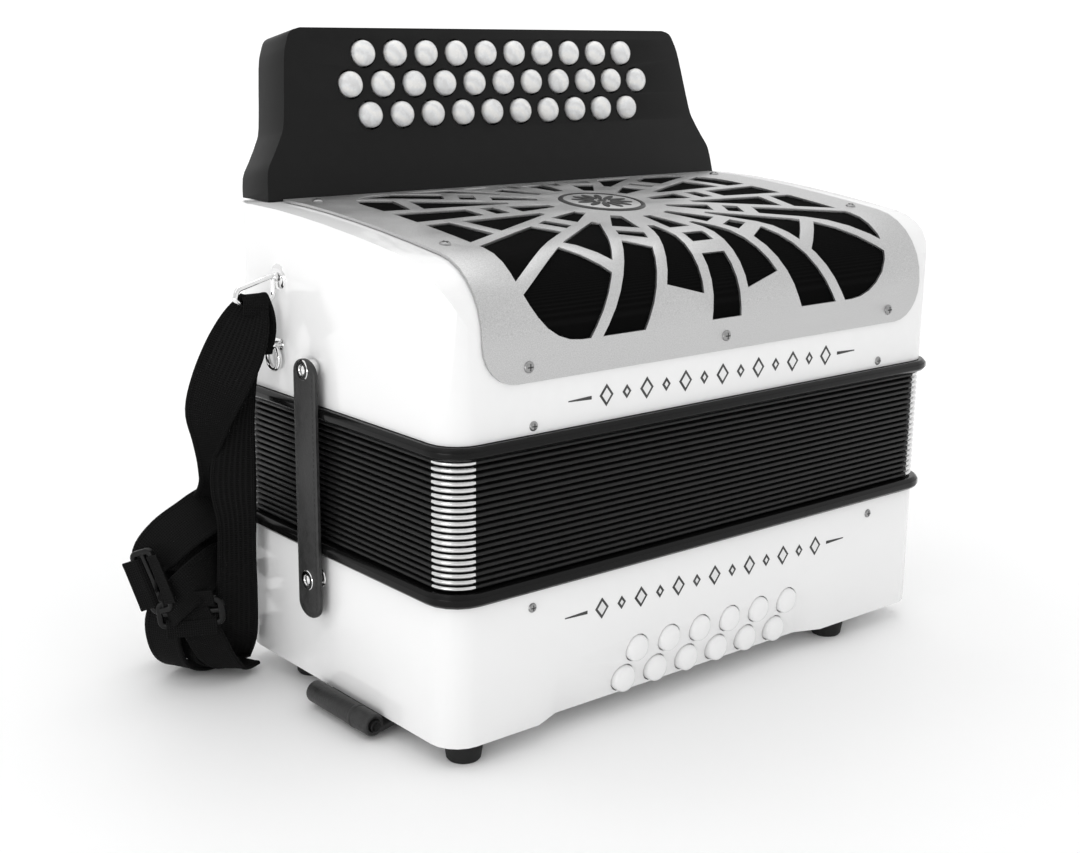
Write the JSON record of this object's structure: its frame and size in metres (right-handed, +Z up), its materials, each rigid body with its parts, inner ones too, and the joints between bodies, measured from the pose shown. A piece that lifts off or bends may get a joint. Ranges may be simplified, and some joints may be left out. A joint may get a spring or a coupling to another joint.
{
  "type": "diatonic button accordion",
  "caption": "Free-reed button accordion with rows of treble buttons on a sloping board, a folded bellows, a pierced sunburst grille and bass buttons, standing on its bass end.",
  "frame": {"origin": "on the floor plane under the middle of the bounding box of the instrument with its shoulder strap", "axes": "+X along the long side of the casings, +Y from the grille front towards the fingerboard, +Z up from the bass end to the treble end"},
  "size_m": [0.3808, 0.1976, 0.3042],
  "materials": {
    "white_gloss": "glossy white lacquer",
    "frame_black": "glossy black lacquer",
    "board_black": "fine matte black",
    "pearl_button": "pearly white, polished",
    "bass_button_white": "glossy white",
    "grille_silver": "satin, fine grain",
    "bellows_black": "satin black cloth over card",
    "reed_wood": "planed",
    "strap_leather": "black grained",
    "webbing": "woven black",
    "chrome_ring": "polished",
    "base_white": "glossy white, with black rubber feet"
  },
  "bodies": {
    "bass_half": {"bass_casing": "white_gloss", "bass_base": "base_white", "bass_frame": "frame_black", "bass_reed_board": "reed_wood", "bellows": "bellows_black", "hand_strap": "strap_leather", "shoulder_strap": "webbing"},
    "treble_half": {"treble_casing": "white_gloss", "treble_frame": "frame_black", "treble_reed_board": "reed_wood", "fingerboard": "board_black", "fingerboard_back": "board_black", "grille": "grille_silver"},
    "left_closer": {"closing_strap_left": "strap_leather"},
    "right_closer": {"closing_strap_right": "strap_leather"},
    "ring": {"strap_ring": "chrome_ring"},
    "key_01": {"treble_key_01": "pearl_button"},
    "key_02": {"treble_key_02": "pearl_button"},
    "key_03": {"treble_key_03": "pearl_button"},
    "key_04": {"treble_key_04": "pearl_button"},
    "key_05": {"treble_key_05": "pearl_button"},
    "key_06": {"treble_key_06": "pearl_button"},
    "key_07": {"treble_key_07": "pearl_button"},
    "key_08": {"treble_key_08": "pearl_button"},
    "key_09": {"treble_key_09": "pearl_button"},
    "key_10": {"treble_key_10": "pearl_button"},
    "key_11": {"treble_key_11": "pearl_button"},
    "key_12": {"treble_key_12": "pearl_button"},
    "key_13": {"treble_key_13": "pearl_button"},
    "key_14": {"treble_key_14": "pearl_button"},
    "key_15": {"treble_key_15": "pearl_button"},
    "key_16": {"treble_key_16": "pearl_button"},
    "key_17": {"treble_key_17": "pearl_button"},
    "key_18": {"treble_key_18": "pearl_button"},
    "key_19": {"treble_key_19": "pearl_button"},
    "key_20": {"treble_key_20": "pearl_button"},
    "key_21": {"treble_key_21": "pearl_button"},
    "key_22": {"treble_key_22": "pearl_button"},
    "key_23": {"treble_key_23": "pearl_button"},
    "key_24": {"treble_key_24": "pearl_button"},
    "key_25": {"treble_key_25": "pearl_button"},
    "key_26": {"treble_key_26": "pearl_button"},
    "key_27": {"treble_key_27": "pearl_button"},
    "key_28": {"treble_key_28": "pearl_button"},
    "key_29": {"treble_key_29": "pearl_button"},
    "key_30": {"treble_key_30": "pearl_button"},
    "key_31": {"treble_key_31": "pearl_button"},
    "bass_key_01": {"bass_button_01": "bass_button_white"},
    "bass_key_02": {"bass_button_02": "bass_button_white"},
    "bass_key_03": {"bass_button_03": "bass_button_white"},
    "bass_key_04": {"bass_button_04": "bass_button_white"},
    "bass_key_05": {"bass_button_05": "bass_button_white"},
    "bass_key_06": {"bass_button_06": "bass_button_white"},
    "bass_key_07": {"bass_button_07": "bass_button_white"},
    "bass_key_08": {"bass_button_08": "bass_button_white"},
    "bass_key_09": {"bass_button_09": "bass_button_white"},
    "bass_key_10": {"bass_button_10": "bass_button_white"},
    "bass_key_11": {"bass_button_11": "bass_button_white"},
    "bass_key_12": {"bass_button_12": "bass_button_white"},
    "air_key": {"air_button": "bass_button_white"}
  },
  "joints": [
    {"name": "bellows_travel", "type": "slide", "parent": "bass_half", "child": "treble_half", "axis": [0, 0, 1], "range_m": [0, 0.24], "deforming": ["bellows", "shoulder_strap"]},
    {"name": "left_closer_swing", "type": "hinge", "parent": "treble_half", "child": "left_closer", "pos_m": [-0.13722, 0.00478, 0.1579], "axis": [-1, 0, 0], "range_deg": [0, 95]},
    {"name": "right_closer_swing", "type": "hinge", "parent": "treble_half", "child": "right_closer", "pos_m": [0.18328, 0.00478, 0.1579], "axis": [-1, 0, 0], "range_deg": [0, 95]},
    {"name": "ring_swing", "type": "hinge", "parent": "treble_half", "child": "ring", "pos_m": [-0.13457, 0.03428, 0.195], "axis": [-1, 0, 0], "range_deg": [-60, 60]},
    {"name": "key_01_press", "type": "hinge", "parent": "treble_half", "child": "key_01", "pos_m": [-0.06377, 0.06494, 0.20983], "axis": [-1, 0, 0], "range_deg": [0, 3.49], "stiffness_Nm_per_rad": 1.2},
    {"name": "key_02_press", "type": "hinge", "parent": "treble_half", "child": "key_02", "pos_m": [-0.04517, 0.06494, 0.20983], "axis": [-1, 0, 0], "range_deg": [0, 3.49], "stiffness_Nm_per_rad": 1.2},
    {"name": "key_03_press", "type": "hinge", "parent": "treble_half", "child": "key_03", "pos_m": [-0.02657, 0.06494, 0.20983], "axis": [-1, 0, 0], "range_deg": [0, 3.49], "stiffness_Nm_per_rad": 1.2},
    {"name": "key_04_press", "type": "hinge", "parent": "treble_half", "child": "key_04", "pos_m": [-0.00797, 0.06494, 0.20983], "axis": [-1, 0, 0], "range_deg": [0, 3.49], "stiffness_Nm_per_rad": 1.2},
    {"name": "key_05_press", "type": "hinge", "parent": "treble_half", "child": "key_05", "pos_m": [0.01063, 0.06494, 0.20983], "axis": [-1, 0, 0], "range_deg": [0, 3.49], "stiffness_Nm_per_rad": 1.2},
    {"name": "key_06_press", "type": "hinge", "parent": "treble_half", "child": "key_06", "pos_m": [0.02923, 0.06494, 0.20983], "axis": [-1, 0, 0], "range_deg": [0, 3.49], "stiffness_Nm_per_rad": 1.2},
    {"name": "key_07_press", "type": "hinge", "parent": "treble_half", "child": "key_07", "pos_m": [0.04783, 0.06494, 0.20983], "axis": [-1, 0, 0], "range_deg": [0, 3.49], "stiffness_Nm_per_rad": 1.2},
    {"name": "key_08_press", "type": "hinge", "parent": "treble_half", "child": "key_08", "pos_m": [0.06643, 0.06494, 0.20983], "axis": [-1, 0, 0], "range_deg": [0, 3.49], "stiffness_Nm_per_rad": 1.2},
    {"name": "key_09_press", "type": "hinge", "parent": "treble_half", "child": "key_09", "pos_m": [0.08503, 0.06494, 0.20983], "axis": [-1, 0, 0], "range_deg": [0, 3.49], "stiffness_Nm_per_rad": 1.2},
    {"name": "key_10_press", "type": "hinge", "parent": "treble_half", "child": "key_10", "pos_m": [0.10363, 0.06494, 0.20983], "axis": [-1, 0, 0], "range_deg": [0, 3.49], "stiffness_Nm_per_rad": 1.2},
    {"name": "key_11_press", "type": "hinge", "parent": "treble_half", "child": "key_11", "pos_m": [-0.06997, 0.06494, 0.20983], "axis": [-1, 0, 0], "range_deg": [0, 2.73], "stiffness_Nm_per_rad": 1.2},
    {"name": "key_12_press", "type": "hinge", "parent": "treble_half", "child": "key_12", "pos_m": [-0.05137, 0.06494, 0.20983], "axis": [-1, 0, 0], "range_deg": [0, 2.73], "stiffness_Nm_per_rad": 1.2},
    {"name": "key_13_press", "type": "hinge", "parent": "treble_half", "child": "key_13", "pos_m": [-0.03277, 0.06494, 0.20983], "axis": [-1, 0, 0], "range_deg": [0, 2.73], "stiffness_Nm_per_rad": 1.2},
    {"name": "key_14_press", "type": "hinge", "parent": "treble_half", "child": "key_14", "pos_m": [-0.01417, 0.06494, 0.20983], "axis": [-1, 0, 0], "range_deg": [0, 2.73], "stiffness_Nm_per_rad": 1.2},
    {"name": "key_15_press", "type": "hinge", "parent": "treble_half", "child": "key_15", "pos_m": [0.00443, 0.06494, 0.20983], "axis": [-1, 0, 0], "range_deg": [0, 2.73], "stiffness_Nm_per_rad": 1.2},
    {"name": "key_16_press", "type": "hinge", "parent": "treble_half", "child": "key_16", "pos_m": [0.02303, 0.06494, 0.20983], "axis": [-1, 0, 0], "range_deg": [0, 2.73], "stiffness_Nm_per_rad": 1.2},
    {"name": "key_17_press", "type": "hinge", "parent": "treble_half", "child": "key_17", "pos_m": [0.04163, 0.06494, 0.20983], "axis": [-1, 0, 0], "range_deg": [0, 2.73], "stiffness_Nm_per_rad": 1.2},
    {"name": "key_18_press", "type": "hinge", "parent": "treble_half", "child": "key_18", "pos_m": [0.06023, 0.06494, 0.20983], "axis": [-1, 0, 0], "range_deg": [0, 2.73], "stiffness_Nm_per_rad": 1.2},
    {"name": "key_19_press", "type": "hinge", "parent": "treble_half", "child": "key_19", "pos_m": [0.07883, 0.06494, 0.20983], "axis": [-1, 0, 0], "range_deg": [0, 2.73], "stiffness_Nm_per_rad": 1.2},
    {"name": "key_20_press", "type": "hinge", "parent": "treble_half", "child": "key_20", "pos_m": [0.09743, 0.06494, 0.20983], "axis": [-1, 0, 0], "range_deg": [0, 2.73], "stiffness_Nm_per_rad": 1.2},
    {"name": "key_21_press", "type": "hinge", "parent": "treble_half", "child": "key_21", "pos_m": [0.11603, 0.06494, 0.20983], "axis": [-1, 0, 0], "range_deg": [0, 2.73], "stiffness_Nm_per_rad": 1.2},
    {"name": "key_22_press", "type": "hinge", "parent": "treble_half", "child": "key_22", "pos_m": [-0.05757, 0.06494, 0.20983], "axis": [-1, 0, 0], "range_deg": [0, 2.24], "stiffness_Nm_per_rad": 1.2},
    {"name": "key_23_press", "type": "hinge", "parent": "treble_half", "child": "key_23", "pos_m": [-0.03897, 0.06494, 0.20983], "axis": [-1, 0, 0], "range_deg": [0, 2.24], "stiffness_Nm_per_rad": 1.2},
    {"name": "key_24_press", "type": "hinge", "parent": "treble_half", "child": "key_24", "pos_m": [-0.02037, 0.06494, 0.20983], "axis": [-1, 0, 0], "range_deg": [0, 2.24], "stiffness_Nm_per_rad": 1.2},
    {"name": "key_25_press", "type": "hinge", "parent": "treble_half", "child": "key_25", "pos_m": [-0.00177, 0.06494, 0.20983], "axis": [-1, 0, 0], "range_deg": [0, 2.24], "stiffness_Nm_per_rad": 1.2},
    {"name": "key_26_press", "type": "hinge", "parent": "treble_half", "child": "key_26", "pos_m": [0.01683, 0.06494, 0.20983], "axis": [-1, 0, 0], "range_deg": [0, 2.24], "stiffness_Nm_per_rad": 1.2},
    {"name": "key_27_press", "type": "hinge", "parent": "treble_half", "child": "key_27", "pos_m": [0.03543, 0.06494, 0.20983], "axis": [-1, 0, 0], "range_deg": [0, 2.24], "stiffness_Nm_per_rad": 1.2},
    {"name": "key_28_press", "type": "hinge", "parent": "treble_half", "child": "key_28", "pos_m": [0.05403, 0.06494, 0.20983], "axis": [-1, 0, 0], "range_deg": [0, 2.24], "stiffness_Nm_per_rad": 1.2},
    {"name": "key_29_press", "type": "hinge", "parent": "treble_half", "child": "key_29", "pos_m": [0.07263, 0.06494, 0.20983], "axis": [-1, 0, 0], "range_deg": [0, 2.24], "stiffness_Nm_per_rad": 1.2},
    {"name": "key_30_press", "type": "hinge", "parent": "treble_half", "child": "key_30", "pos_m": [0.09123, 0.06494, 0.20983], "axis": [-1, 0, 0], "range_deg": [0, 2.24], "stiffness_Nm_per_rad": 1.2},
    {"name": "key_31_press", "type": "hinge", "parent": "treble_half", "child": "key_31", "pos_m": [0.10983, 0.06494, 0.20983], "axis": [-1, 0, 0], "range_deg": [0, 2.24], "stiffness_Nm_per_rad": 1.2},
    {"name": "bass_01_press", "type": "slide", "parent": "bass_half", "child": "bass_key_01", "axis": [0, 1, 0], "range_m": [0, 0.003], "stiffness_N_per_m": 300},
    {"name": "bass_02_press", "type": "slide", "parent": "bass_half", "child": "bass_key_02", "axis": [0, 1, 0], "range_m": [0, 0.003], "stiffness_N_per_m": 300},
    {"name": "bass_03_press", "type": "slide", "parent": "bass_half", "child": "bass_key_03", "axis": [0, 1, 0], "range_m": [0, 0.003], "stiffness_N_per_m": 300},
    {"name": "bass_04_press", "type": "slide", "parent": "bass_half", "child": "bass_key_04", "axis": [0, 1, 0], "range_m": [0, 0.003], "stiffness_N_per_m": 300},
    {"name": "bass_05_press", "type": "slide", "parent": "bass_half", "child": "bass_key_05", "axis": [0, 1, 0], "range_m": [0, 0.003], "stiffness_N_per_m": 300},
    {"name": "bass_06_press", "type": "slide", "parent": "bass_half", "child": "bass_key_06", "axis": [0, 1, 0], "range_m": [0, 0.003], "stiffness_N_per_m": 300},
    {"name": "bass_07_press", "type": "slide", "parent": "bass_half", "child": "bass_key_07", "axis": [0, 1, 0], "range_m": [0, 0.003], "stiffness_N_per_m": 300},
    {"name": "bass_08_press", "type": "slide", "parent": "bass_half", "child": "bass_key_08", "axis": [0, 1, 0], "range_m": [0, 0.003], "stiffness_N_per_m": 300},
    {"name": "bass_09_press", "type": "slide", "parent": "bass_half", "child": "bass_key_09", "axis": [0, 1, 0], "range_m": [0, 0.003], "stiffness_N_per_m": 300},
    {"name": "bass_10_press", "type": "slide", "parent": "bass_half", "child": "bass_key_10", "axis": [0, 1, 0], "range_m": [0, 0.003], "stiffness_N_per_m": 300},
    {"name": "bass_11_press", "type": "slide", "parent": "bass_half", "child": "bass_key_11", "axis": [0, 1, 0], "range_m": [0, 0.003], "stiffness_N_per_m": 300},
    {"name": "bass_12_press", "type": "slide", "parent": "bass_half", "child": "bass_key_12", "axis": [0, 1, 0], "range_m": [0, 0.003], "stiffness_N_per_m": 300},
    {"name": "air_press", "type": "slide", "parent": "bass_half", "child": "air_key", "axis": [0, -1, 0], "range_m": [0, 0.004], "stiffness_N_per_m": 300}
  ]
}
